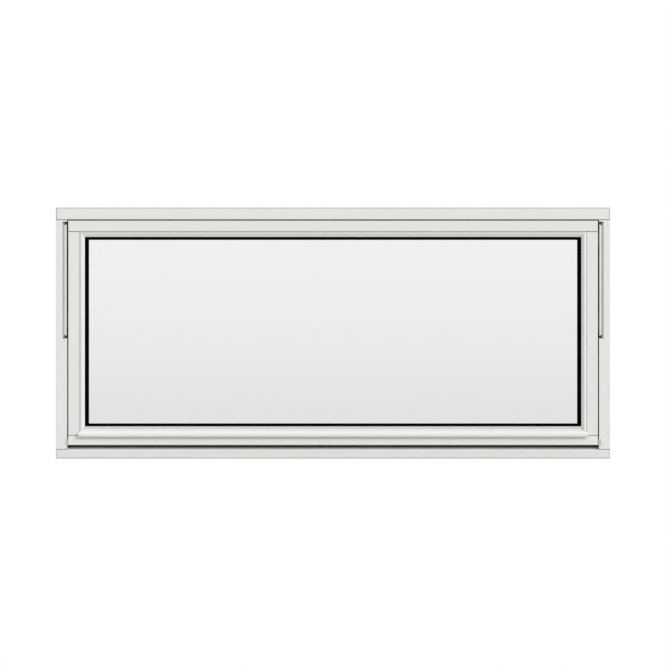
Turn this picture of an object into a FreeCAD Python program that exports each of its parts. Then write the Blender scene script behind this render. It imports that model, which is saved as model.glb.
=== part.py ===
import FreeCAD
import Part
import math
import os

from FreeCAD import Vector

# Top hung awning window in painted timber, shut, in millimetres.
# X runs along the width, Y from outside (minus) to the room (plus), Z up.
# The origin is the middle of the sill's underside.

# Frame, overall
frame_width = 1188.0
frame_height = 538.0
frame_depth = 115.0

# Frame faces as seen from outside
head_face = 25.7
jamb_face = 24.1
sill_face = 18.5
sill_rise = 9.0
sill_weather_reach = 24.0
sill_weather_rise = 6.0
stop_overlap = 14.0
sill_stop_overlap = 11.0
arris = 0.8
outer_edge_radius = 1.6
sill_nose_radius = 2.0
joint_gap = 1.5
joint_depth = 3.5

# Frame grooves and fixing holes
lining_groove_width = 10.0
lining_groove_depth = 8.0
lining_groove_setback = 14.0
sill_drip_width = 6.0
sill_drip_depth = 5.0
sill_drip_setback = 10.0
fixing_hole_radius = 4.0
fixing_end_distance = 110.0
fixing_setback = 44.0

# Sash
sash_gap = 2.4
head_gap = 2.6
sill_gap = 10.5
sash_setback = 1.0
sash_thickness = 54.0
seal_gap = 3.5
stile_face = 23.5
top_rail_face = 22.8
bottom_rail_face = 19.7
nib_width = 18.0
nib_thickness = 12.0
nib_chamfer = 5.0
rail_drip_width = 5.0
rail_drip_depth = 5.0
rail_drip_setback = 7.0

# Sealed glazing unit and its gaskets
glass_clearance = 3.0
setting_block_length = 100.0
setting_block_end_distance = 150.0
pane_thickness = 4.0
cavity = 16.0
spacer_height = 11.5
inner_gasket_thickness = 3.0
inner_gasket_setback = 1.0
outer_gasket_thickness = 3.0
outer_gasket_lip = 1.0
stile_gasket_width = 9.0
rail_gasket_width = 6.5

# Weatherstrip between the sash and the frame's stop
weatherstrip_setback = 1.5
weatherstrip_width = 8.0
weatherstrip_foot_width = 3.0
weatherstrip_foot_depth = 4.0

# Glazing beads
bead_width = 12.0
bead_quirk = 2.2
bead_rise = 1.8
bead_crown = 4.6
bead_crown_radius = 3.0
bead_inner_depth = 3.2
bead_inner_radius = 0.6
drip_bead_height = 20.1
drip_bead_upstand = 6.5
drip_bead_cove_radius = 5.0
drip_bead_projection = 7.0
drip_bead_front = 6.6
drip_bead_drop = 2.6
drip_bead_lip = 3.0
drip_bead_lip_radius = 0.8
drip_bead_end = 2.0
drip_bead_nose_radius = 1.0

# Friction stays in their routed recesses
recess_depth = 9.7
recess_reach = 30.0
recess_head_distance = 4.8
recess_corner_radius = 1.5
track_width = 20.0
track_height = 4.0
track_sheet = 1.2
track_lip = 4.5
track_setback = 6.0
track_end_gap = 0.5
stay_cap_length = 4.0
stay_cap_wrap = 1.0
arm_thickness = 2.2
arm_width = 14.0
arm_length = 238.0
arm_end_clearance = 6.1
arm_pivot_radius = 4.0
arm_pivot_end_distance = 22.0
sash_bar_thickness = 2.4
sash_bar_width = 16.0
bar_corner_radius = 2.5
packer_length = 36.0
packer_width = 12.0
packer_end_distance = 14.0
packer_chamfer = 1.0
stay_end_clearance = 0.5

# Guide blocks in the jambs beside the sash's lower corners
guide_height = 15.0
guide_drop = 2.0
guide_inset = 4.0
guide_reach = 25.0
guide_setback = 0.5
guide_clearance = 1.0
guide_lead = 0.8

# Handle on the room side of the bottom rail
handle_base_length = 62.0
handle_base_height = 23.0
handle_base_thickness = 7.0
handle_base_round = 2.0
handle_end_flat = 1.0
neck_radius = 8.0
neck_length = 17.0
lever_length = 112.0
lever_height = 17.0
lever_tip_height = 13.0
lever_thickness = 10.0
lever_round = 3.0

# Margin by which a cutting solid passes the face that it opens
cut_over = 1.0

# Planes across the depth
y_front = -frame_depth / 2
y_back = frame_depth / 2
y_sash_front = y_front + sash_setback
y_sash_back = y_sash_front + sash_thickness
y_stop = y_sash_back + seal_gap
y_nib = y_sash_back - nib_thickness
y_inner_pane_back = y_nib - inner_gasket_thickness
y_inner_pane_front = y_inner_pane_back - pane_thickness
y_outer_pane_back = y_inner_pane_front - cavity
y_outer_pane_front = y_outer_pane_back - pane_thickness
y_bead_back = y_outer_pane_front - outer_gasket_thickness
y_bead_edge = y_sash_front + bead_inner_depth
y_track = y_front + track_setback

# Planes across the width, on the left half
x_left = -frame_width / 2
x_jamb = x_left + jamb_face
x_sash = x_jamb + sash_gap
x_jamb_stop = x_sash + stop_overlap
x_stile = x_sash + stile_face
x_nib = x_stile + nib_width
x_glass = x_stile + glass_clearance
x_bead = x_stile + bead_width
x_sightline = x_bead + stile_gasket_width
x_recess = x_jamb - recess_depth

# Levels
z_head = frame_height - head_face
z_sash_top = z_head - head_gap
z_head_stop = z_sash_top - stop_overlap
z_top_rail = z_sash_top - top_rail_face
z_top_nib = z_top_rail - nib_width
z_top_glass = z_top_rail - glass_clearance
z_top_bead = z_top_rail - bead_width
z_top_sightline = z_top_bead - rail_gasket_width
z_sash_bottom = sill_face + sill_gap
z_sill_stop = z_sash_bottom + sill_stop_overlap
z_bottom_rail = z_sash_bottom + bottom_rail_face
z_bottom_nib = z_bottom_rail + nib_width
z_bottom_glass = z_bottom_rail + glass_clearance
z_bottom_bead = z_bottom_rail + drip_bead_height
z_bottom_sightline = z_bottom_bead + rail_gasket_width
recess_length = arm_length + 2 * arm_end_clearance
z_recess_top = z_head - recess_head_distance
z_recess_bottom = z_recess_top - recess_length
z_handle = (z_sill_stop + z_bottom_nib) / 2


def rounded_wire(corners, place):
    """Closed wire through corners (a, b, radius). place turns a flat point into one in space."""
    count = len(corners)
    bends = []
    for i, (a, b, radius) in enumerate(corners):
        here = Vector(a, b, 0)
        to_before = (Vector(*corners[i - 1][:2], 0) - here).normalize()
        to_after = (Vector(*corners[(i + 1) % count][:2], 0) - here).normalize()
        half_angle = to_before.getAngle(to_after) / 2
        reach = radius / math.tan(half_angle)
        inward = (to_before + to_after).normalize()
        middle = here + inward * (radius / math.sin(half_angle) - radius)
        bends.append((here + to_before * reach, middle, here + to_after * reach, radius))
    edges = []
    for i, (start, middle, end, radius) in enumerate(bends):
        if radius > 0:
            edges.append(Part.Arc(place(start), place(middle), place(end)).toShape())
        following = bends[(i + 1) % count][0]
        edges.append(Part.LineSegment(place(end), place(following)).toShape())
    return Part.Wire(edges)


def placed(axis, level):
    """Function that puts a flat point in the plane across an axis, at a level along it."""
    if axis == "x":
        return lambda p: Vector(level, p.x, p.y)
    if axis == "y":
        return lambda p: Vector(p.x, level, p.y)
    return lambda p: Vector(p.x, p.y, level)


def prism(corners, axis, start, end):
    """Solid of one section along an axis. The corners are in the other two axes, in x, y, z order."""
    origin = Vector(0, 0, 0)
    run = placed(axis, end)(origin) - placed(axis, start)(origin)
    return Part.Face(rounded_wire(corners, placed(axis, start))).extrude(run)


def block(x0, x1, y0, y1, z0, z1):
    return Part.makeBox(x1 - x0, y1 - y0, z1 - z0, Vector(x0, y0, z0))


def centred_block(x0, y0, y1, z0, z1):
    """Block that reaches as far to the right of the middle as x0 is to its left."""
    return block(x0, -x0, y0, y1, z0, z1)


def ring(outer, inner, y0, y1):
    """Rectangular loop between two outlines (left edge, bottom, top), centred on the width."""
    x0, bottom, top = outer
    x1, hole_bottom, hole_top = inner
    solid = centred_block(x0, y0, y1, bottom, top)
    return solid.cut(centred_block(x1, y0 - cut_over, y1 + cut_over, hole_bottom, hole_top))


def flared_opening(near, near_y, far, far_y):
    """Four sided funnel between two outlines (left edge, bottom, top) at two depths."""
    wires = []
    for (x0, bottom, top), y in ((near, near_y), (far, far_y)):
        corners = [(x0, bottom, 0), (-x0, bottom, 0), (-x0, top, 0), (x0, top, 0)]
        wires.append(rounded_wire(corners, placed("y", y)))
    return Part.makeLoft(wires, True, True)


def mirrored(shape):
    return shape.mirror(Vector(0, 0, 0), Vector(1, 0, 0))


# Frame

def head_section(edge, outer_edge):
    return [
        (y_front, z_head, edge),
        (y_stop, z_head, 0),
        (y_stop, z_head_stop, edge),
        (y_back, z_head_stop, edge),
        (y_back, frame_height, edge),
        (y_front, frame_height, outer_edge),
    ]


def sill_section(edge, outer_edge, nose):
    return [
        (y_front, 0, outer_edge),
        (y_back, 0, edge),
        (y_back, z_sill_stop, edge),
        (y_stop, z_sill_stop, edge),
        (y_stop, sill_face + sill_rise, 0),
        (y_front + sill_weather_reach, sill_face + sill_weather_rise, 0),
        (y_front, sill_face, nose),
    ]


def eased_ends(bar):
    """A head or sill with the front edges of its ends rounded."""
    corners = [
        (x_left, y_front, outer_edge_radius),
        (-x_left, y_front, outer_edge_radius),
        (-x_left, y_back, 0),
        (x_left, y_back, 0),
    ]
    return bar.common(prism(corners, "z", 0, frame_height))


def jamb_section(edge):
    return [
        (x_left, y_front, edge),
        (x_jamb, y_front, edge),
        (x_jamb, y_stop, 0),
        (x_jamb_stop, y_stop, edge),
        (x_jamb_stop, y_back, edge),
        (x_left, y_back, edge),
    ]


def weatherstrip_foot():
    """Rib of the weatherstrip that is pressed into the groove in the frame's stop."""
    edge = weatherstrip_setback + (weatherstrip_width + weatherstrip_foot_width) / 2
    far = weatherstrip_foot_width
    outer = (x_jamb_stop - edge, z_sill_stop - edge, z_head_stop + edge)
    inner = (x_jamb_stop - edge + far, z_sill_stop - edge + far, z_head_stop + edge - far)
    return ring(outer, inner, y_stop, y_stop + weatherstrip_foot_depth)


def weatherstrip():
    far = weatherstrip_setback + weatherstrip_width
    near = weatherstrip_setback
    outer = (x_jamb_stop - far, z_sill_stop - far, z_head_stop + far)
    inner = (x_jamb_stop - near, z_sill_stop - near, z_head_stop + near)
    return ring(outer, inner, y_sash_back, y_stop).fuse(weatherstrip_foot())


def lining_groove():
    """Groove for the reveal's lining, up one side of the frame, across its top and down the other."""
    groove_back = y_back - lining_groove_setback
    outer = (x_left - cut_over, -cut_over, frame_height + cut_over)
    inner = (x_left + lining_groove_depth, -2 * cut_over, frame_height - lining_groove_depth)
    return ring(outer, inner, groove_back - lining_groove_width, groove_back)


def frame_head():
    bar = prism(head_section(arris, outer_edge_radius), "x", x_left, -x_left)
    return eased_ends(bar).cut(lining_groove()).cut(weatherstrip_foot())


def frame_sill():
    drip_front = y_front + sill_drip_setback
    drip = centred_block(
        x_left - cut_over, drip_front, drip_front + sill_drip_width, -cut_over, sill_drip_depth
    )
    bar = prism(sill_section(arris, outer_edge_radius, sill_nose_radius), "x", x_left, -x_left)
    return eased_ends(bar).cut(drip).cut(lining_groove()).cut(weatherstrip_foot())


def stay_recess():
    """Routed pocket for a friction stay, open to the front and to the sash."""
    corners = [
        (x_jamb + cut_over, z_recess_bottom, 0),
        (x_recess, z_recess_bottom, recess_corner_radius),
        (x_recess, z_recess_top, recess_corner_radius),
        (x_jamb + cut_over, z_recess_top, 0),
    ]
    return prism(corners, "y", y_front - cut_over, y_front + recess_reach)


def joint_reveal(x0, x1, y_face, z_joint, upward):
    """Shadow gap at the front of a joint, cut from the upright above (1) or below (-1) the joint."""
    levels = sorted((z_joint, z_joint + upward * joint_gap))
    return block(x0 - cut_over, x1 + cut_over, y_face - cut_over, y_face + joint_depth, *levels)


def guide_notch():
    return block(
        x_jamb - guide_inset,
        x_jamb + cut_over,
        y_front - cut_over,
        y_front + guide_reach,
        z_sash_bottom - guide_drop,
        z_sash_bottom - guide_drop + guide_height,
    )


def left_jamb():
    """Jamb scribed over the sill and under the head, with its recess, notch and fixing holes."""
    post = prism(jamb_section(arris), "z", 0, frame_height)
    post = post.cut(prism(head_section(0, 0), "x", x_left, -x_left))
    post = post.cut(prism(sill_section(0, 0, 0), "x", x_left, -x_left))
    cuts = [
        lining_groove(),
        weatherstrip_foot(),
        stay_recess(),
        guide_notch(),
        joint_reveal(x_left, x_jamb, y_front, z_head, -1),
        joint_reveal(x_left, x_jamb, y_front, sill_face, 1),
    ]
    for level in (fixing_end_distance, frame_height - fixing_end_distance):
        mouth = Vector(x_left - cut_over, y_front + fixing_setback, level)
        length = jamb_face + 2 * cut_over
        cuts.append(Part.makeCylinder(fixing_hole_radius, length, mouth, Vector(1, 0, 0)))
    for tool in cuts:
        post = post.cut(tool)
    return post


# Sash

def rail_section(outer_level, face_level, nib_level, edge):
    return [
        (y_sash_front, outer_level, edge),
        (y_sash_back, outer_level, edge),
        (y_sash_back, nib_level, 0),
        (y_nib, nib_level, 0),
        (y_nib, face_level, 0),
        (y_sash_front, face_level, edge),
    ]


def top_rail_bar(edge):
    return prism(rail_section(z_sash_top, z_top_rail, z_top_nib, edge), "x", x_sash, -x_sash)


def bottom_rail_bar(edge):
    section = rail_section(z_sash_bottom, z_bottom_rail, z_bottom_nib, edge)
    return prism(section, "x", x_sash, -x_sash)


def nib_flare():
    """Chamfer round the room side of the glazed opening, mitred at its corners."""
    reach = nib_chamfer + cut_over
    return flared_opening(
        (x_nib, z_bottom_nib, z_top_nib),
        y_sash_back - nib_chamfer,
        (x_nib - reach, z_bottom_nib - reach, z_top_nib + reach),
        y_sash_back + cut_over,
    )


def sash_top_rail():
    return top_rail_bar(arris).cut(nib_flare())


def sash_bottom_rail():
    drip_front = y_sash_front + rail_drip_setback
    drip = centred_block(
        x_sash - cut_over,
        drip_front,
        drip_front + rail_drip_width,
        z_sash_bottom - cut_over,
        z_sash_bottom + rail_drip_depth,
    )
    return bottom_rail_bar(arris).cut(nib_flare()).cut(drip)


def left_stile():
    """Stile between the rails, scribed to their sections."""
    section = [
        (x_sash, y_sash_front, arris),
        (x_stile, y_sash_front, arris),
        (x_stile, y_nib, 0),
        (x_nib, y_nib, 0),
        (x_nib, y_sash_back, 0),
        (x_sash, y_sash_back, arris),
    ]
    stile = prism(section, "z", z_sash_bottom, z_sash_top)
    cuts = [
        top_rail_bar(0),
        bottom_rail_bar(0),
        nib_flare(),
        joint_reveal(x_sash, x_stile, y_sash_front, z_top_rail, -1),
        joint_reveal(x_sash, x_stile, y_sash_front, z_bottom_rail, 1),
    ]
    for tool in cuts:
        stile = stile.cut(tool)
    return stile


# Glazing

def glass_pane(y0, y1):
    return centred_block(x_glass, y0, y1, z_bottom_glass, z_top_glass)


def setting_blocks():
    """Two packers on the bottom rail that carry the glazing unit."""
    packers = []
    for side in (-1, 1):
        middle = side * (-x_glass - setting_block_end_distance)
        packers.append(
            block(
                middle - setting_block_length / 2,
                middle + setting_block_length / 2,
                y_outer_pane_front,
                y_inner_pane_back,
                z_bottom_rail,
                z_bottom_glass,
            )
        )
    return Part.Compound(packers)


def glass_spacer():
    edge = spacer_height
    outer = (x_glass, z_bottom_glass, z_top_glass)
    inner = (x_glass + edge, z_bottom_glass + edge, z_top_glass - edge)
    return ring(outer, inner, y_outer_pane_back, y_inner_pane_front)


def inner_gasket():
    back = inner_gasket_setback
    outer = (x_glass, z_bottom_glass, z_top_glass)
    inner = (x_nib - back, z_bottom_nib - back, z_top_nib + back)
    return ring(outer, inner, y_inner_pane_back, y_nib)


def outer_gasket():
    """Wedge gasket from under the beads to the sightline, thinning to a lip on the glass."""
    outer = (x_glass, z_bottom_glass, z_top_glass)
    sightline = (x_sightline, z_bottom_sightline, z_top_sightline)
    bead_line = (x_bead, z_bottom_bead, z_top_bead)
    wedge = flared_opening(bead_line, y_bead_back, sightline, y_outer_pane_front - outer_gasket_lip)
    return ring(outer, sightline, y_bead_back, y_outer_pane_front).cut(wedge)


# Glazing beads

def bead_section(rebate, inward):
    """Crowned bead from its rebate wall towards the glass, as (across, y, radius) corners."""
    return [
        (rebate, y_bead_back, 0),
        (rebate, y_sash_front + bead_quirk, 0),
        (rebate + inward * bead_crown, y_sash_front - bead_rise, bead_crown_radius),
        (rebate + inward * bead_width, y_bead_edge, bead_inner_radius),
        (rebate + inward * bead_width, y_bead_back, 0),
    ]


def mitred(bar, corners):
    """The part of a bar inside a mitred outline in the plane of the window."""
    flat = [(x, z, 0) for x, z in corners]
    return bar.common(prism(flat, "y", y_front - frame_depth, y_back))


def left_bead():
    bar = prism(bead_section(x_stile, 1), "z", z_sash_bottom, z_sash_top)
    outline = [
        (x_stile, z_bottom_bead - bead_width),
        (x_bead, z_bottom_bead),
        (x_bead, z_top_bead),
        (x_stile, z_top_rail),
    ]
    return mitred(bar, outline)


def top_bead():
    section = [(y, z, radius) for z, y, radius in bead_section(z_top_rail, -1)]
    bar = prism(section, "x", x_sash, -x_sash)
    outline = [
        (x_stile, z_top_rail),
        (x_bead, z_top_bead),
        (-x_bead, z_top_bead),
        (-x_stile, z_top_rail),
    ]
    return mitred(bar, outline)


def drip_bead_bar(x_end):
    """Drip bead's full section: an upstand at the glass, coved into a slope, and a nose with a drip lip."""
    y_nose = y_sash_front - drip_bead_projection
    z_lip = z_bottom_rail - drip_bead_drop
    z_nose = z_lip + drip_bead_front
    section = [
        (y_bead_edge, z_bottom_bead, bead_inner_radius),
        (y_bead_edge, z_bottom_bead - drip_bead_upstand, drip_bead_cove_radius),
        (y_nose, z_nose, drip_bead_nose_radius),
        (y_nose, z_lip, drip_bead_lip_radius),
        (y_nose + drip_bead_lip, z_lip, drip_bead_lip_radius),
        (y_nose + drip_bead_lip, z_bottom_rail, 0),
        (y_bead_back, z_bottom_rail, 0),
        (y_bead_back, z_bottom_bead, 0),
    ]
    return prism(section, "x", x_end, -x_end)


def drip_bead():
    """Bottom bead: mitred to the side beads in the rebate, with a nose that overlaps the stiles."""
    x_end = x_stile - drip_bead_end
    bar = drip_bead_bar(x_end)
    z_mitre = z_bottom_bead - bead_width
    outline = [
        (x_stile, z_bottom_rail),
        (x_stile, z_mitre),
        (x_bead, z_bottom_bead),
        (-x_bead, z_bottom_bead),
        (-x_stile, z_mitre),
        (-x_stile, z_bottom_rail),
    ]
    inside = mitred(bar, outline)
    y_nose = y_sash_front - drip_bead_projection
    front = bar.common(centred_block(x_end, y_nose, y_sash_front, 0, z_mitre))
    return inside.fuse(front).removeSplitter()


# Friction stays

def stay_track():
    """Folded channel on the floor of the recess, open towards the sash."""
    y_end = y_track + track_width
    top = x_recess + track_height
    under = top - track_sheet
    section = [
        (x_recess, y_track),
        (x_recess, y_end),
        (top, y_end),
        (top, y_end - track_lip),
        (under, y_end - track_lip),
        (under, y_end - track_sheet),
        (x_recess + track_sheet, y_end - track_sheet),
        (x_recess + track_sheet, y_track + track_sheet),
        (under, y_track + track_sheet),
        (under, y_track + track_lip),
        (top, y_track + track_lip),
        (top, y_track),
    ]
    corners = [(x, y, 0) for x, y in section]
    end = recess_corner_radius + track_end_gap
    return prism(corners, "z", z_recess_bottom + end, z_recess_top - end)


def flat_bar(x0, x1, width, z0, z1):
    """Flat bar with eased corners, standing on edge in the middle of the track's width."""
    y_middle = y_track + track_width / 2
    y0 = y_middle - width / 2
    y1 = y_middle + width / 2
    corners = [(y, z, bar_corner_radius) for y, z in ((y0, z0), (y1, z0), (y1, z1), (y0, z1))]
    return prism(corners, "x", x0, x1)


def stay_arm():
    """Arm on the track's lips, with a pivot at each end that stands on the track's floor."""
    x0 = x_recess + track_height
    z_middle = (z_recess_bottom + z_recess_top) / 2
    z0 = z_middle - arm_length / 2
    z1 = z_middle + arm_length / 2
    arm = flat_bar(x0, x0 + arm_thickness, arm_width, z0, z1)
    for level in (z0 + arm_pivot_end_distance, z1 - arm_pivot_end_distance):
        foot = Vector(x_recess + track_sheet, y_track + track_width / 2, level)
        height = track_height - track_sheet
        arm = arm.fuse(Part.makeCylinder(arm_pivot_radius, height, foot, Vector(1, 0, 0)))
    return arm


def sash_bar_levels():
    """Lower and upper end of the bar that carries the sash."""
    end = stay_cap_length + stay_end_clearance
    return z_recess_bottom + end, z_recess_top - end


def stay_sash_bar():
    """Bar that carries the sash, lying on the arm."""
    x0 = x_recess + track_height + arm_thickness
    return flat_bar(x0, x0 + sash_bar_thickness, sash_bar_width, *sash_bar_levels())


def stay_packers():
    """Two packers that fill the joint between the sash bar and the sash's edge."""
    x0 = x_recess + track_height + arm_thickness + sash_bar_thickness
    y_middle = y_track + track_width / 2
    y0 = y_middle - packer_width / 2
    y1 = y_middle + packer_width / 2
    low, high = sash_bar_levels()
    first = low + packer_end_distance
    last = high - packer_end_distance - packer_length
    packers = []
    for z0 in (first, last):
        z1 = z0 + packer_length
        corners = [
            (y0 + packer_chamfer, z0, 0),
            (y1 - packer_chamfer, z0, 0),
            (y1, z0 + packer_chamfer, 0),
            (y1, z1 - packer_chamfer, 0),
            (y1 - packer_chamfer, z1, 0),
            (y0 + packer_chamfer, z1, 0),
            (y0, z1 - packer_chamfer, 0),
            (y0, z0 + packer_chamfer, 0),
        ]
        packers.append(prism(corners, "x", x0, x_sash))
    return Part.Compound(packers)


def stay_caps():
    """Moulded caps that close both ends of the stay."""
    caps = []
    x_foot = x_recess + max(track_height, recess_corner_radius)
    for end, inward in ((z_recess_bottom, 1), (z_recess_top, -1)):
        levels = sorted((end, end + inward * stay_cap_length))
        caps.append(
            block(
                x_foot,
                x_jamb,
                y_track - stay_cap_wrap,
                y_track + track_width,
                levels[0],
                levels[1],
            )
        )
    return Part.Compound(caps)


def guide_block():
    """Block let into the jamb that centres the sash as it shuts, with an eased leading edge."""
    x0 = x_jamb - guide_inset
    x1 = x_sash - guide_clearance
    y0 = y_front + guide_setback
    corners = [
        (x0, y0, 0),
        (x1 - guide_lead, y0, 0),
        (x1, y0 + guide_lead, 0),
        (x1, y_front + guide_reach, 0),
        (x0, y_front + guide_reach, 0),
    ]
    z0 = z_sash_bottom - guide_drop
    return prism(corners, "z", z0, z0 + guide_height)


# Handle

def handle_base():
    half_length = handle_base_length / 2
    half_height = handle_base_height / 2
    end_radius = half_height - handle_end_flat
    corners = [
        (-half_length, z_handle - half_height, end_radius),
        (half_length, z_handle - half_height, end_radius),
        (half_length, z_handle + half_height, end_radius),
        (-half_length, z_handle + half_height, end_radius),
    ]
    y_face = y_sash_back + handle_base_thickness
    plate = prism(corners, "y", y_sash_back, y_face)
    rim = [edge for edge in plate.Edges if all(v.Y > y_face - cut_over / 10 for v in edge.Vertexes)]
    return plate.makeFillet(handle_base_round, rim)


def handle_lever():
    """Neck and tapering lever, lying along the rail as it does when the window is locked."""
    y_neck = y_sash_back + handle_base_thickness
    y_lever = y_neck + neck_length
    half = lever_height / 2
    tip = lever_tip_height / 2
    corners = [
        (-half, z_handle - half, half - handle_end_flat),
        (lever_length - half, z_handle - tip, tip - handle_end_flat),
        (lever_length - half, z_handle + tip, tip - handle_end_flat),
        (-half, z_handle + half, half - handle_end_flat),
    ]
    lever = prism(corners, "y", y_lever, y_lever + lever_thickness)
    lever = lever.makeFillet(lever_round, [e for e in lever.Edges if is_across_depth(e)])
    neck_foot = Vector(0, y_neck, z_handle)
    neck = Part.makeCylinder(neck_radius, neck_length + lever_thickness / 2, neck_foot, Vector(0, 1, 0))
    return lever.fuse(neck).removeSplitter()


def is_across_depth(edge):
    """True for an edge that lies in one plane across the depth."""
    depths = [v.Y for v in edge.Vertexes]
    return max(depths) - min(depths) < cut_over / 10


def window():
    """Every piece by name."""
    pieces = {
        "frame_head": frame_head(),
        "frame_sill": frame_sill(),
        "frame_weatherstrip": weatherstrip(),
        "sash_top_rail": sash_top_rail(),
        "sash_bottom_rail": sash_bottom_rail(),
        "outer_glass_pane": glass_pane(y_outer_pane_front, y_outer_pane_back),
        "inner_glass_pane": glass_pane(y_inner_pane_front, y_inner_pane_back),
        "glass_spacer": glass_spacer(),
        "glass_setting_blocks": setting_blocks(),
        "outer_glazing_gasket": outer_gasket(),
        "inner_glazing_gasket": inner_gasket(),
        "top_glazing_bead": top_bead(),
        "bottom_drip_bead": drip_bead(),
        "handle_base": handle_base(),
        "handle_lever": handle_lever(),
    }
    left_pieces = {
        "frame_jamb": left_jamb(),
        "sash_stile": left_stile(),
        "glazing_bead": left_bead(),
        "stay_track": stay_track(),
        "stay_arm": stay_arm(),
        "stay_sash_bar": stay_sash_bar(),
        "stay_packers": stay_packers(),
        "stay_end_caps": stay_caps(),
        "guide_block": guide_block(),
    }
    for name, shape in left_pieces.items():
        pieces["left_" + name] = shape
        pieces["right_" + name] = mirrored(shape)
    return pieces


def main():
    os.makedirs("parts", exist_ok=True)
    for name, shape in window().items():
        if not shape.isValid() or shape.Volume <= 0:
            raise ValueError(name + " is not a sound solid")
        shape.exportStep("parts/" + name + ".step")
        print(name, len(shape.Solids), round(shape.Volume / 1000, 2), "cm3")


main()
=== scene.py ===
import bmesh
import bpy
import math
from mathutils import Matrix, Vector


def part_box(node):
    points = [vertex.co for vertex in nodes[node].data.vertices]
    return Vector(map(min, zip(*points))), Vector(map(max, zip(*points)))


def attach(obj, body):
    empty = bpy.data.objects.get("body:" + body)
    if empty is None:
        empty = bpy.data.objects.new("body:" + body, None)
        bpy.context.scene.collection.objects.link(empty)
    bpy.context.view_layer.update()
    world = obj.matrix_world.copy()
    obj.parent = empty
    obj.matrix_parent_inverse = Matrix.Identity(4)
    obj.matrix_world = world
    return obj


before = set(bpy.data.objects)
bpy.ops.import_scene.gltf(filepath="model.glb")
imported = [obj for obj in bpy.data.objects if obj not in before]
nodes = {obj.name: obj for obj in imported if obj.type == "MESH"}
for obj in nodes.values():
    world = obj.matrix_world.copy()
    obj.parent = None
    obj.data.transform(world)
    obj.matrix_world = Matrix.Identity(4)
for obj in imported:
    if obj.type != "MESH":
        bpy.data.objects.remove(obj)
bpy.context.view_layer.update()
scene = bpy.context.scene
scene.view_settings.view_transform = "Standard"
print("frame loaded:", len(nodes), "nodes")


def newMaterial(name):
    material = bpy.data.materials.new(name)
    material.use_nodes = True
    tree = material.node_tree
    return material, tree, tree.nodes["Principled BSDF"]


def setInputs(node, values):
    for socketName, value in values.items():
        node.inputs[socketName].default_value = value
    return node


def addNode(tree, kind, inputs=None, **settings):
    node = tree.nodes.new(kind)
    for key, value in settings.items():
        setattr(node, key, value)
    return setInputs(node, inputs or {})


# a shared effect: named inputs with their usual values, and the names of the values it gives out
def newGroup(name, inputs, outputs):
    group = bpy.data.node_groups.new(name, "ShaderNodeTree")
    for socketName, value in inputs.items():
        kind = "NodeSocketVector" if isinstance(value, tuple) else "NodeSocketFloat"
        socket = group.interface.new_socket(socketName, in_out="INPUT", socket_type=kind)
        socket.default_value = value
    for socketName in outputs:
        group.interface.new_socket(socketName, in_out="OUTPUT", socket_type="NodeSocketFloat")
    return group, group.nodes.new("NodeGroupInput"), group.nodes.new("NodeGroupOutput")


def placeGroup(tree, group, inputs):
    return addNode(tree, "ShaderNodeGroup", inputs, node_tree=group)


def mathNode(tree, operation, *values):
    node = addNode(tree, "ShaderNodeMath", operation=operation)
    for socket, value in zip(node.inputs, values):
        if isinstance(value, float):
            socket.default_value = value
        else:
            tree.links.new(value, socket)
    return node.outputs[0]


def addNoise(tree, place, inputs):
    noise = addNode(tree, "ShaderNodeTexNoise", inputs)
    tree.links.new(place, noise.inputs["Vector"])
    return noise


def remap(tree, value, inputs, **settings):
    node = addNode(tree, "ShaderNodeMapRange", inputs, **settings)
    tree.links.new(value, node.inputs["Value"])
    return node


def spread(tree, value, low, high):
    return remap(tree, value, {"To Min": low, "To Max": high}).outputs["Result"]


def blendColour(tree, factor, first, second):
    node = addNode(tree, "ShaderNodeMix", data_type="RGBA")
    tree.links.new(factor, node.inputs["Factor"])
    for socketName, colour in (("A", first), ("B", second)):
        if isinstance(colour, tuple):
            node.inputs[socketName].default_value = (*colour, 1)
        else:
            tree.links.new(colour, node.inputs[socketName])
    return node.outputs["Result"]


def bumpFrom(tree, height, distance, strength, shader):
    bump = addNode(tree, "ShaderNodeBump", {"Distance": distance, "Strength": strength})
    tree.links.new(height, bump.inputs["Height"])
    tree.links.new(bump.outputs["Normal"], shader.inputs["Normal"])


# streaks drawn out along one direction: brush marks, rolling lines, extrusion lines
def buildGrainGroup():
    group, source, result = newGroup(
        "drawnGrain", {"Stretch": (1.0, 1.0, 1.0), "Fineness": 1.0}, ("Streaks", "Clouds")
    )
    place = addNode(group, "ShaderNodeTexCoord").outputs["Object"]
    scaled = addNode(group, "ShaderNodeVectorMath", operation="MULTIPLY")
    group.links.new(place, scaled.inputs[0])
    group.links.new(source.outputs["Stretch"], scaled.inputs[1])
    streaks = addNoise(group, scaled.outputs[0], {"Detail": 6.0, "Roughness": 0.62})
    group.links.new(source.outputs["Fineness"], streaks.inputs["Scale"])
    clouds = addNoise(group, place, {"Scale": 9.0, "Detail": 3.0, "Roughness": 0.5})
    group.links.new(streaks.outputs["Fac"], result.inputs["Streaks"])
    group.links.new(clouds.outputs["Fac"], result.inputs["Clouds"])
    return group


# fine moulded or rubbery stipple, with a slow bloom over it
def buildStippleGroup():
    group, source, result = newGroup("mouldStipple", {"Pitch": 1500.0}, ("Stipple", "Bloom"))
    place = addNode(group, "ShaderNodeTexCoord").outputs["Object"]
    fine = addNoise(group, place, {"Detail": 2.0, "Roughness": 0.5})
    group.links.new(source.outputs["Pitch"], fine.inputs["Scale"])
    bloom = addNoise(group, place, {"Scale": 24.0, "Detail": 4.0, "Roughness": 0.55})
    group.links.new(fine.outputs["Fac"], result.inputs["Stipple"])
    group.links.new(bloom.outputs["Fac"], result.inputs["Bloom"])
    return group


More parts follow.
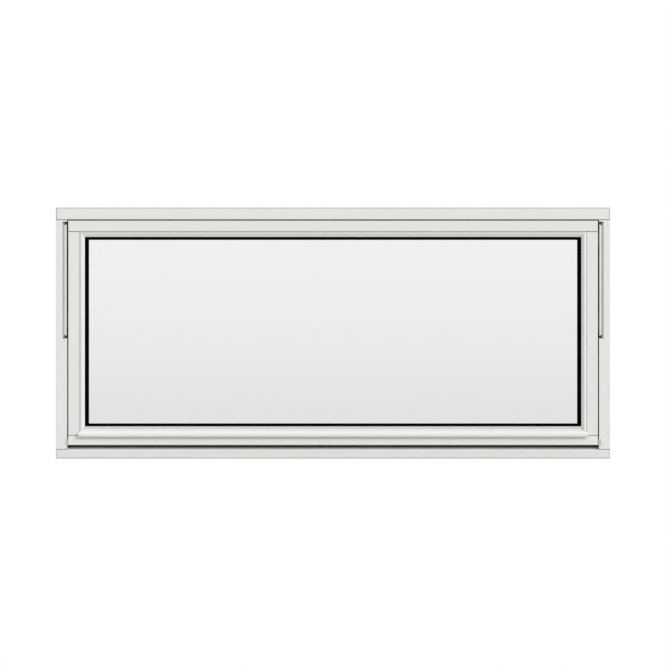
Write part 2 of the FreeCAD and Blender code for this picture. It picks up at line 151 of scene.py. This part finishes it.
# dust that settles where a surface faces up; turned up strongly on the top bead, it is painted shade
def buildDustAndShadeGroup():
    group, source, result = newGroup("settledDustAndShade", {"Amount": 0.2, "Patchiness": 60.0}, ("DustAndShade",))
    geometry = addNode(group, "ShaderNodeNewGeometry")
    facing = addNode(group, "ShaderNodeSeparateXYZ")
    group.links.new(geometry.outputs["Normal"], facing.inputs[0])
    ledge = remap(group, facing.outputs["Z"], {"From Min": 0.15, "From Max": 0.95})
    place = addNode(group, "ShaderNodeTexCoord").outputs["Object"]
    patches = addNoise(group, place, {"Detail": 5.0, "Roughness": 0.6})
    group.links.new(source.outputs["Patchiness"], patches.inputs["Scale"])
    uneven = spread(group, patches.outputs["Fac"], low=0.6, high=1.0)
    settled = mathNode(group, "MULTIPLY", ledge.outputs["Result"], uneven)
    dustAndShade = mathNode(group, "MULTIPLY", settled, source.outputs["Amount"])
    group.links.new(dustAndShade, result.inputs["DustAndShade"])
    return group


# painted shade along an edge that runs across the window, and down the two ends of the piece
def buildEdgeShadeGroup():
    group, source, result = newGroup(
        "edgePaintedShade", {"Depth": 0.0, "Level": 0.0, "End": 10.0, "Reach": 0.003, "Amount": 0.5}, ("EdgeShade",)
    )
    place = addNode(group, "ShaderNodeTexCoord").outputs["Object"]
    point = addNode(group, "ShaderNodeSeparateXYZ")
    group.links.new(place, point.inputs[0])
    fromMiddle = mathNode(group, "ABSOLUTE", point.outputs["X"])
    offEnd = mathNode(group, "SUBTRACT", fromMiddle, source.outputs["End"])
    offFace = mathNode(group, "SUBTRACT", point.outputs["Y"], source.outputs["Depth"])
    offEdge = mathNode(group, "SUBTRACT", point.outputs["Z"], source.outputs["Level"])
    distances = []
    for across in (offEdge, offEnd):
        offset = addNode(group, "ShaderNodeCombineXYZ")
        group.links.new(across, offset.inputs["X"])
        group.links.new(offFace, offset.inputs["Y"])
        length = addNode(group, "ShaderNodeVectorMath", operation="LENGTH")
        group.links.new(offset.outputs[0], length.inputs[0])
        distances.append(length.outputs["Value"])
    nearest = mathNode(group, "MINIMUM", *distances)
    fade = remap(group, nearest, {"To Min": 1.0, "To Max": 0.0}, interpolation_type="SMOOTHSTEP")
    group.links.new(source.outputs["Reach"], fade.inputs["From Max"])
    patches = addNoise(group, place, {"Scale": 40.0, "Detail": 4.0, "Roughness": 0.6})
    uneven = spread(group, patches.outputs["Fac"], low=0.7, high=1.1)
    patchy = mathNode(group, "MULTIPLY", fade.outputs["Result"], uneven)
    edgeShade = mathNode(group, "MULTIPLY", patchy, source.outputs["Amount"])
    group.links.new(edgeShade, result.inputs["EdgeShade"])
    return group


# painted shade that darkens deep in narrow joints and corners, taken from ambient occlusion; the bend keeps it to the
# deepest places
creviceFade = {"samples": 16, "openFrom": 0.6, "bend": 3.0}


def buildCreviceShadeGroup():
    group, source, result = newGroup("creviceShade", {"Width": 0.012, "Amount": 0.8}, ("CreviceShade",))
    openness = addNode(group, "ShaderNodeAmbientOcclusion", samples=creviceFade["samples"])
    group.links.new(source.outputs["Width"], openness.inputs["Distance"])
    shut = remap(group, openness.outputs["AO"], {"From Min": creviceFade["openFrom"], "From Max": 0.0})
    deepest = mathNode(group, "POWER", shut.outputs["Result"], creviceFade["bend"])
    creviceShadeMask = mathNode(group, "MULTIPLY", deepest, source.outputs["Amount"])
    group.links.new(creviceShadeMask, result.inputs["CreviceShade"])
    return group


drawnGrain = buildGrainGroup()
mouldStipple = buildStippleGroup()
settledDustAndShade = buildDustAndShadeGroup()
edgePaintedShade = buildEdgeShadeGroup()
creviceShade = buildCreviceShadeGroup()
print("shared surface effects built")

paintLook = {
    "frame": {"deep": (0.752, 0.752, 0.748), "light": (0.780, 0.780, 0.777)},
    # the sill coat is a darker copy of the frame coat, painted shade; the rail and bead coats are lighter copies,
    # painted light
    "sill": {"deep": (0.732, 0.732, 0.719), "light": (0.757, 0.757, 0.745)},
    "rail": {"deep": (0.778, 0.778, 0.774), "light": (0.805, 0.805, 0.802)},
    "bead": {"deep": (0.797, 0.797, 0.793), "light": (0.825, 0.825, 0.822)},
    "dustAndShade": (0.43, 0.425, 0.40),
    "thinDust": 0.03,
    # on the top bead's ledge the dust is turned up into painted shade
    "topBeadLedgeShade": 1.3,
    # colour of the painted shade along edges
    "edgeShade": (0.40, 0.40, 0.365),
    # colour of the painted shade in joints and corners
    "crevice": (0.10, 0.098, 0.075),
    "creviceWidth": 0.005,
    "creviceAmount": 0.9,
    "roughness": (0.50, 0.62),
    "specular": 0.3,
    "brushMark": 0.00012,
    "brushStrength": 0.35,
    "brushShare": 0.5,
    "fineness": 18.0,
}
alongX, alongZ = (1.2, 26.0, 26.0), (26.0, 26.0, 1.2)  # stretch of the brush marks

# where painted shade darkens a painted piece: depth and level of an edge, half length, reach and amount
headLow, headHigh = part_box("frame_head")
sillLow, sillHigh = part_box("frame_sill")
topBeadLow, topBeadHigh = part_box("top_glazing_bead")
dripBeadLow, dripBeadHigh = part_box("bottom_drip_bead")
edgeShadeLooks = {
    "headEdge": {"Depth": headLow[1], "Level": headHigh[2], "End": headHigh[0], "Reach": 0.0046, "Amount": 0.85},
    "sillEdge": {"Depth": sillLow[1], "Level": sillLow[2], "End": sillHigh[0], "Reach": 0.0044, "Amount": 0.5},
    "beadCrown": {"Depth": topBeadLow[1], "Level": topBeadHigh[2] - 0.0042, "Reach": 0.0042, "Amount": 0.38},
    "glassEdge": {"Depth": dripBeadLow[1] + 0.0102, "Level": dripBeadHigh[2], "Reach": 0.0145, "Amount": 0.56},
    "dripEdge": {"Depth": dripBeadLow[1], "Level": dripBeadLow[2], "Reach": 0.0060, "Amount": 0.42},
}


def paintMaterial(name, coat, stretch, edgeShadePlaces=(), dustAndShadeAmount=paintLook["thinDust"]):
    material, tree, shader = newMaterial(name)
    grain = placeGroup(tree, drawnGrain, {"Fineness": paintLook["fineness"], "Stretch": stretch})
    brushing = mathNode(tree, "MULTIPLY", grain.outputs["Streaks"], paintLook["brushShare"])
    clouding = mathNode(tree, "MULTIPLY", grain.outputs["Clouds"], 1.0 - paintLook["brushShare"])
    mixed = mathNode(tree, "ADD", brushing, clouding)
    colour = blendColour(tree, mixed, paintLook[coat]["deep"], paintLook[coat]["light"])
    # painted shade along the listed edges
    for edgeShadePlace in edgeShadePlaces:
        edgeShade = placeGroup(tree, edgePaintedShade, edgeShadeLooks[edgeShadePlace])
        colour = blendColour(tree, edgeShade.outputs["EdgeShade"], colour, paintLook["edgeShade"])
    # painted shade deep in joints and corners
    crevice = placeGroup(tree, creviceShade, {"Width": paintLook["creviceWidth"], "Amount": paintLook["creviceAmount"]})
    colour = blendColour(tree, crevice.outputs["CreviceShade"], colour, paintLook["crevice"])
    # dust on up-facing faces, strong enough on the top bead to be painted shade
    dustAndShade = placeGroup(tree, settledDustAndShade, {"Amount": dustAndShadeAmount})
    colour = blendColour(tree, dustAndShade.outputs["DustAndShade"], colour, paintLook["dustAndShade"])
    tree.links.new(colour, shader.inputs["Base Color"])
    sheen = spread(tree, grain.outputs["Streaks"], *paintLook["roughness"])
    tree.links.new(mathNode(tree, "ADD", sheen, dustAndShade.outputs["DustAndShade"]), shader.inputs["Roughness"])
    setInputs(shader, {"Specular IOR Level": paintLook["specular"]})
    bumpFrom(tree, grain.outputs["Streaks"], paintLook["brushMark"], paintLook["brushStrength"], shader)
    return material


# painted light and shade ride on these coats: lighter coats on the bottom rail and beads, a darker coat on the sill,
# and painted shade along the head and sill edges and on the beads
paintAcross = paintMaterial("satinPaintAcross", "frame", alongX)
paintHead = paintMaterial("satinPaintHead", "frame", alongX, ["headEdge"])
paintBottomRail = paintMaterial("satinPaintBottomRail", "rail", alongX)
paintTopBead = paintMaterial("satinPaintTopBead", "bead", alongX, ["beadCrown"], paintLook["topBeadLedgeShade"])
paintDripBead = paintMaterial("satinPaintDripBead", "bead", alongX, ["glassEdge", "dripEdge"])
paintSill = paintMaterial("satinPaintSill", "sill", alongX, ["sillEdge"])
paintUpright = paintMaterial("satinPaintUpright", "frame", alongZ)

# pitch is in stipples to the metre, depth in metres
mouldedLooks = {
    "blackGasketRubber": {
        "dark": (0.0005, 0.0005, 0.0005), "light": (0.0012, 0.0012, 0.0012), "roughness": (0.7, 0.85),
        "specular": 0.02, "pitch": 1800.0, "depth": 0.00005, "strength": 0.4,
    },
    "greySealRubber": {
        "dark": (0.018, 0.018, 0.018), "light": (0.03, 0.03, 0.03), "roughness": (0.55, 0.7),
        "specular": 0.25, "pitch": 1800.0, "depth": 0.00005, "strength": 0.4,
    },
    "blackStayPlastic": {
        "dark": (0.062, 0.062, 0.052), "light": (0.09, 0.09, 0.078), "roughness": (0.45, 0.6),
        "specular": 0.25, "pitch": 1200.0, "depth": 0.00005, "strength": 0.4,
    },
    "greyGuideNylon": {
        "dark": (0.53, 0.53, 0.515), "light": (0.58, 0.58, 0.565), "roughness": (0.4, 0.55),
        "specular": 0.4, "pitch": 900.0, "depth": 0.00005, "strength": 0.4,
    },
}


def mouldedMaterial(name):
    look = mouldedLooks[name]
    material, tree, shader = newMaterial(name)
    stipple = placeGroup(tree, mouldStipple, {"Pitch": look["pitch"]})
    colour = blendColour(tree, stipple.outputs["Bloom"], look["dark"], look["light"])
    tree.links.new(colour, shader.inputs["Base Color"])
    tree.links.new(spread(tree, stipple.outputs["Bloom"], *look["roughness"]), shader.inputs["Roughness"])
    setInputs(shader, {"Specular IOR Level": look["specular"]})
    bumpFrom(tree, stipple.outputs["Stipple"], look["depth"], look["strength"], shader)
    return material


gasketRubber = mouldedMaterial("blackGasketRubber")
sealRubber = mouldedMaterial("greySealRubber")
stayPlastic = mouldedMaterial("blackStayPlastic")
guideNylon = mouldedMaterial("greyGuideNylon")

# stretch and fineness of the grain, with its depth in metres
metalLooks = {
    "brushedStayBar": {
        "dark": (0.76, 0.76, 0.745), "light": (0.87, 0.87, 0.855), "roughness": (0.3, 0.45),
        "stretch": (60.0, 60.0, 2.0), "fineness": 22.0, "depth": 0.00004, "strength": 0.3,
    },
    # the track's steel is darkened as painted shade for the recess it sits in
    "rolledStayTrackShadeTone": {
        "dark": (0.40, 0.40, 0.38), "light": (0.49, 0.49, 0.465), "roughness": (0.38, 0.52),
        "stretch": (60.0, 60.0, 2.0), "fineness": 18.0, "depth": 0.00005, "strength": 0.3,
    },
    "satinHandleMetal": {
        "dark": (0.66, 0.66, 0.66), "light": (0.76, 0.76, 0.755), "roughness": (0.26, 0.38),
        "stretch": (4.0, 50.0, 50.0), "fineness": 20.0, "depth": 0.00003, "strength": 0.3,
    },
    "platedScrewSteel": {
        "dark": (0.50, 0.50, 0.49), "light": (0.66, 0.66, 0.65), "roughness": (0.22, 0.4),
        "stretch": (9.0, 9.0, 9.0), "fineness": 60.0, "depth": 0.00002, "strength": 0.3,
    },
}


def metalMaterial(name):
    look = metalLooks[name]
    material, tree, shader = newMaterial(name)
    grain = placeGroup(tree, drawnGrain, {"Fineness": look["fineness"], "Stretch": look["stretch"]})
    colour = blendColour(tree, grain.outputs["Streaks"], look["dark"], look["light"])
    tree.links.new(colour, shader.inputs["Base Color"])
    tree.links.new(spread(tree, grain.outputs["Streaks"], *look["roughness"]), shader.inputs["Roughness"])
    setInputs(shader, {"Metallic": 1.0})
    bumpFrom(tree, grain.outputs["Streaks"], look["depth"], look["strength"], shader)
    return material


stayBar = metalMaterial("brushedStayBar")
stayTrack = metalMaterial("rolledStayTrackShadeTone")
handleMetal = metalMaterial("satinHandleMetal")
screwSteel = metalMaterial("platedScrewSteel")

glassLook = {
    "tint": (0.931, 0.931, 0.929), "ior": 1.5, "haze": 0.012,
    "wavePitch": 6.0, "waveDepth": 0.00002, "waveStrength": 0.05,
}


def glassMaterial(look):
    material, tree, shader = newMaterial("clearPaneGlass")
    setInputs(shader, {"Base Color": (*look["tint"], 1), "IOR": look["ior"], "Transmission Weight": 1.0})
    stipple = placeGroup(tree, mouldStipple, {"Pitch": look["wavePitch"]})
    tree.links.new(spread(tree, stipple.outputs["Bloom"], 0.0, look["haze"]), shader.inputs["Roughness"])
    bumpFrom(tree, stipple.outputs["Stipple"], look["waveDepth"], look["waveStrength"], shader)
    return material


spacerLook = {
    "dark": (0.02, 0.02, 0.022), "light": (0.05, 0.05, 0.053), "roughness": (0.45, 0.6),
    "holePitch": 0.004, "holeSize": 0.22, "pitch": 900.0, "depth": 0.00004, "strength": 0.3,
}


# warm edge spacer with its rows of breather holes
def spacerMaterial(look):
    material, tree, shader = newMaterial("darkEdgeSpacer")
    stipple = placeGroup(tree, mouldStipple, {"Pitch": look["pitch"]})
    place = addNode(tree, "ShaderNodeTexCoord")
    holes = addNode(tree, "ShaderNodeTexVoronoi", {"Scale": 1.0 / look["holePitch"], "Randomness": 0.0})
    tree.links.new(place.outputs["Object"], holes.inputs["Vector"])
    solid = mathNode(tree, "GREATER_THAN", holes.outputs["Distance"], look["holeSize"])
    bloom = mathNode(tree, "MULTIPLY", solid, stipple.outputs["Bloom"])
    tree.links.new(blendColour(tree, bloom, look["dark"], look["light"]), shader.inputs["Base Color"])
    tree.links.new(spread(tree, stipple.outputs["Bloom"], *look["roughness"]), shader.inputs["Roughness"])
    bumpFrom(tree, stipple.outputs["Stipple"], look["depth"], look["strength"], shader)
    return material


clearGlass = glassMaterial(glassLook)
edgeSpacer = spacerMaterial(spacerLook)
print("materials made:", len(bpy.data.materials))


# a left and a right piece share one finish
def plainName(name):
    return name.removeprefix("left_").removeprefix("right_")


finishes = {
    "frame_head": paintHead, "frame_sill": paintSill, "frame_jamb": paintUpright,
    "sash_top_rail": paintAcross, "sash_bottom_rail": paintBottomRail, "sash_stile": paintUpright,
    "top_glazing_bead": paintTopBead, "bottom_drip_bead": paintDripBead, "glazing_bead": paintUpright,
    "outer_glazing_gasket": gasketRubber, "inner_glazing_gasket": gasketRubber, "frame_weatherstrip": sealRubber,
    "outer_glass_pane": clearGlass, "inner_glass_pane": clearGlass, "glass_spacer": edgeSpacer,
    "glass_setting_blocks": guideNylon, "guide_block": guideNylon,
    "stay_track": stayTrack, "stay_arm": stayBar, "stay_sash_bar": stayBar,
    "stay_end_caps": stayPlastic, "stay_packers": stayPlastic,
    "handle_base": handleMetal, "handle_lever": handleMetal,
}
for name, piece in nodes.items():
    piece.data.materials.clear()
    piece.data.materials.append(finishes[plainName(name)])
print("finishes set")

# small rounds on the edges of pieces that are not joinery, in metres
edgeLook = {
    "widths": {
        "stay_track": 0.0002, "stay_arm": 0.0003, "stay_sash_bar": 0.0003, "stay_end_caps": 0.0004,
        "guide_block": 0.0004, "glass_setting_blocks": 0.0004,
    },
    "segments": 2,
    "sharpAngle": 40.0,
    "weldWithin": 0.00001,
}
for name, piece in nodes.items():
    if plainName(name) in edgeLook["widths"]:
        weld = piece.modifiers.new("weld", "WELD")
        weld.merge_threshold = edgeLook["weldWithin"]
        rounding = piece.modifiers.new("edgeRound", "BEVEL")
        rounding.width = edgeLook["widths"][plainName(name)]
        rounding.segments = edgeLook["segments"]
        rounding.limit_method = "ANGLE"
        rounding.angle_limit = math.radians(edgeLook["sharpAngle"])
print("edges rounded")

# two raised screws that hold the handle's base, in metres; the crown goes by radius and height
screwLook = {
    "fromMiddle": 0.0215,
    "sunk": 0.0002,
    "crown": ((0.0034, 0.0001), (0.0033, 0.00035), (0.0030, 0.0006), (0.0026, 0.0008), (0.0022, 0.0009)),
    "crossReach": 0.0017,
    "crossWidth": 0.00075,
    "crossDepth": 0.0011,
    "crossTaper": 0.72,
    "corners": 32,
}


# outline of the cross recess, corner by corner
def crossOutline(reach, width):
    half = width / 2
    quarter = ((half, -reach), (half, -half), (reach, -half))
    outline = []
    for cosine, sine in ((1, 0), (0, 1), (-1, 0), (0, -1)):
        outline += [(cosine * a - sine * b, sine * a + cosine * b) for a, b in quarter]
    return outline


# loop of edges through flat points, at a height above the base's face
def closedLoop(mesh, flatPoints, centre, height):
    corners = [mesh.verts.new((centre[0] - a, centre[1] + height, centre[2] + b)) for a, b in flatPoints]
    edges = [mesh.edges.new((corners[i - 1], corners[i])) for i in range(len(corners))]
    return corners, edges


def bridgeLoops(mesh, lower, upper):
    for i in range(len(lower)):
        mesh.faces.new((lower[i - 1], lower[i], upper[i], upper[i - 1]))


def buildScrewHead(mesh, centre, look):
    turns = [2 * math.pi * (i + 0.5) / look["corners"] for i in range(look["corners"])]
    foot = (look["crown"][0][0], -look["sunk"])
    rims = []
    for radius, height in (foot, *look["crown"]):
        circle = [(radius * math.cos(turn), radius * math.sin(turn)) for turn in turns]
        rims.append(closedLoop(mesh, circle, centre, height))
    for lower, upper in zip(rims, rims[1:]):
        bridgeLoops(mesh, lower[0], upper[0])
    mesh.faces.new(rims[0][0])
    top = look["crown"][-1][1]
    cross = crossOutline(look["crossReach"], look["crossWidth"])
    deepCross = [(a * look["crossTaper"], b * look["crossTaper"]) for a, b in cross]
    mouth = closedLoop(mesh, cross, centre, top)
    floor = closedLoop(mesh, deepCross, centre, top - look["crossDepth"])
    bmesh.ops.triangle_fill(mesh, use_beauty=True, edges=rims[-1][1] + mouth[1])
    bridgeLoops(mesh, floor[0], mouth[0])
    mesh.faces.new(floor[0])


def buildHandleScrews(look):
    low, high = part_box("handle_base")
    middle = (low + high) / 2
    mesh = bmesh.new()
    for side in (-1, 1):
        buildScrewHead(mesh, (middle[0] + side * look["fromMiddle"], high[1], middle[2]), look)
    bmesh.ops.recalc_face_normals(mesh, faces=mesh.faces)
    data = bpy.data.meshes.new("handle_screws")
    mesh.to_mesh(data)
    mesh.free()
    screws = bpy.data.objects.new("handle_screws", data)
    scene.collection.objects.link(screws)
    data.materials.append(screwSteel)
    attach(screws, "root")


buildHandleScrews(screwLook)
print("handle screws set")

stageLook = {
    "reach": 9.0,
    "backdropDistance": 4.0,
    "backdropFoot": -3.0,
    "ambient": 0.78,
    "ambientColour": (1.0, 1.0, 0.95, 1.0),
    "floorColour": (0.95, 0.95, 0.95),
    "floorBounce": (0.56, 0.56, 0.56),
    "floorRoughness": 0.8,
    "floorGlow": 0.62,
    "throughTop": 1.0,
    "throughBottom": 0.845,
    "fadeBend": 1.5,
    "glassTop": 0.469,
    "glassBottom": 0.075,
}


def flatPanel(name, corners, material):
    mesh = bpy.data.meshes.new(name)
    mesh.from_pydata(corners, [], [(0, 1, 2, 3)])
    mesh.materials.append(material)
    panel = bpy.data.objects.new(name, mesh)
    scene.collection.objects.link(panel)


# camera, mirror and see-through rays get the white ground
def seenDirectly(tree):
    path = addNode(tree, "ShaderNodeLightPath")
    seen = mathNode(tree, "MAXIMUM", path.outputs["Is Camera Ray"], path.outputs["Is Glossy Ray"])
    return mathNode(tree, "MAXIMUM", seen, path.outputs["Is Transmission Ray"])


# nearly white where it is seen, darker for the light that it throws back
def floorMaterial():
    material, tree, shader = newMaterial("paleFloor")
    setInputs(shader, {"Roughness": stageLook["floorRoughness"]})
    path = addNode(tree, "ShaderNodeLightPath")
    colour = blendColour(tree, path.outputs["Is Diffuse Ray"], stageLook["floorColour"], stageLook["floorBounce"])
    tree.links.new(colour, shader.inputs["Base Color"])
    glow = addNode(tree, "ShaderNodeEmission", {"Color": (1, 1, 1, 1), "Strength": 1.0})
    mix = addNode(tree, "ShaderNodeMixShader")
    tree.links.new(mathNode(tree, "MULTIPLY", seenDirectly(tree), stageLook["floorGlow"]), mix.inputs[0])
    tree.links.new(shader.outputs[0], mix.inputs[1])
    tree.links.new(glow.outputs[0], mix.inputs[2])
    tree.links.new(mix.outputs[0], tree.nodes["Material Output"].inputs["Surface"])
    return material


# white to the camera, and, for what shows through the glass, painted shade that darkens from top to bottom
def backdropMaterial():
    material, tree, shader = newMaterial("whiteBackdrop")
    place = addNode(tree, "ShaderNodeTexCoord")
    level = addNode(tree, "ShaderNodeSeparateXYZ")
    tree.links.new(place.outputs["Object"], level.inputs[0])
    drop = remap(tree, level.outputs["Z"], {"From Min": stageLook["glassTop"], "From Max": stageLook["glassBottom"]})
    bend = mathNode(tree, "POWER", drop.outputs["Result"], stageLook["fadeBend"])
    fade = spread(tree, bend, stageLook["throughTop"], stageLook["throughBottom"])
    path = addNode(tree, "ShaderNodeLightPath")
    direct = addNode(tree, "ShaderNodeMix", {"B": 1.0}, data_type="FLOAT")
    tree.links.new(path.outputs["Is Camera Ray"], direct.inputs["Factor"])
    tree.links.new(fade, direct.inputs["A"])
    glow = addNode(tree, "ShaderNodeEmission")
    tree.links.new(direct.outputs["Result"], glow.inputs["Strength"])
    tree.links.new(glow.outputs[0], tree.nodes["Material Output"].inputs["Surface"])
    tree.nodes.remove(shader)
    return material


reach, foot, back = stageLook["reach"], stageLook["backdropFoot"], stageLook["backdropDistance"]
floorCorners = [(-reach, -reach, 0), (reach, -reach, 0), (reach, back, 0), (-reach, back, 0)]
backdropCorners = [(-reach, back, foot), (reach, back, foot), (reach, back, reach), (-reach, back, reach)]
flatPanel("floor", floorCorners, floorMaterial())
flatPanel("backdrop", backdropCorners, backdropMaterial())

world = bpy.data.worlds.new("softStudio")
world.use_nodes = True
scene.world = world
worldTree = world.node_tree
ambient = setInputs(worldTree.nodes["Background"],
                    {"Color": stageLook["ambientColour"], "Strength": stageLook["ambient"]})
ground = addNode(worldTree, "ShaderNodeBackground", {"Color": (1, 1, 1, 1), "Strength": 1.0})
worldMix = addNode(worldTree, "ShaderNodeMixShader")
worldTree.links.new(seenDirectly(worldTree), worldMix.inputs[0])
worldTree.links.new(ambient.outputs[0], worldMix.inputs[1])
worldTree.links.new(ground.outputs[0], worldMix.inputs[2])
worldTree.links.new(worldMix.outputs[0], worldTree.nodes["World Output"].inputs["Surface"])

# one broad key lamp from the right and above, far off
keyLook = {"from": (0.66, -0.56, 0.50), "distance": 4.0, "softness": 22.0, "power": 1.66, "colour": (0.985, 0.985, 1.0)}
keyData = bpy.data.lights.new("key", "SUN")
keyData.angle = math.radians(keyLook["softness"])
keyData.energy = keyLook["power"]
keyData.color = keyLook["colour"]
key = bpy.data.objects.new("key", keyData)
scene.collection.objects.link(key)
key.location = Vector(keyLook["from"]) * keyLook["distance"]
key.rotation_euler = (-Vector(keyLook["from"])).to_track_quat("-Z", "Y").to_euler()

# straight on, as the photo is taken
cameraLook = {"place": (-0.0012, -3.0, 0.270), "tilt": 90.0, "viewWidth": 1.4252}
cameraData = bpy.data.cameras.new("camera")
cameraData.type = "ORTHO"
cameraData.ortho_scale = cameraLook["viewWidth"]
camera = bpy.data.objects.new("camera", cameraData)
scene.collection.objects.link(camera)
camera.location = cameraLook["place"]
camera.rotation_euler = (math.radians(cameraLook["tilt"]), 0, 0)
scene.camera = camera
print("stage, lamp and camera set")
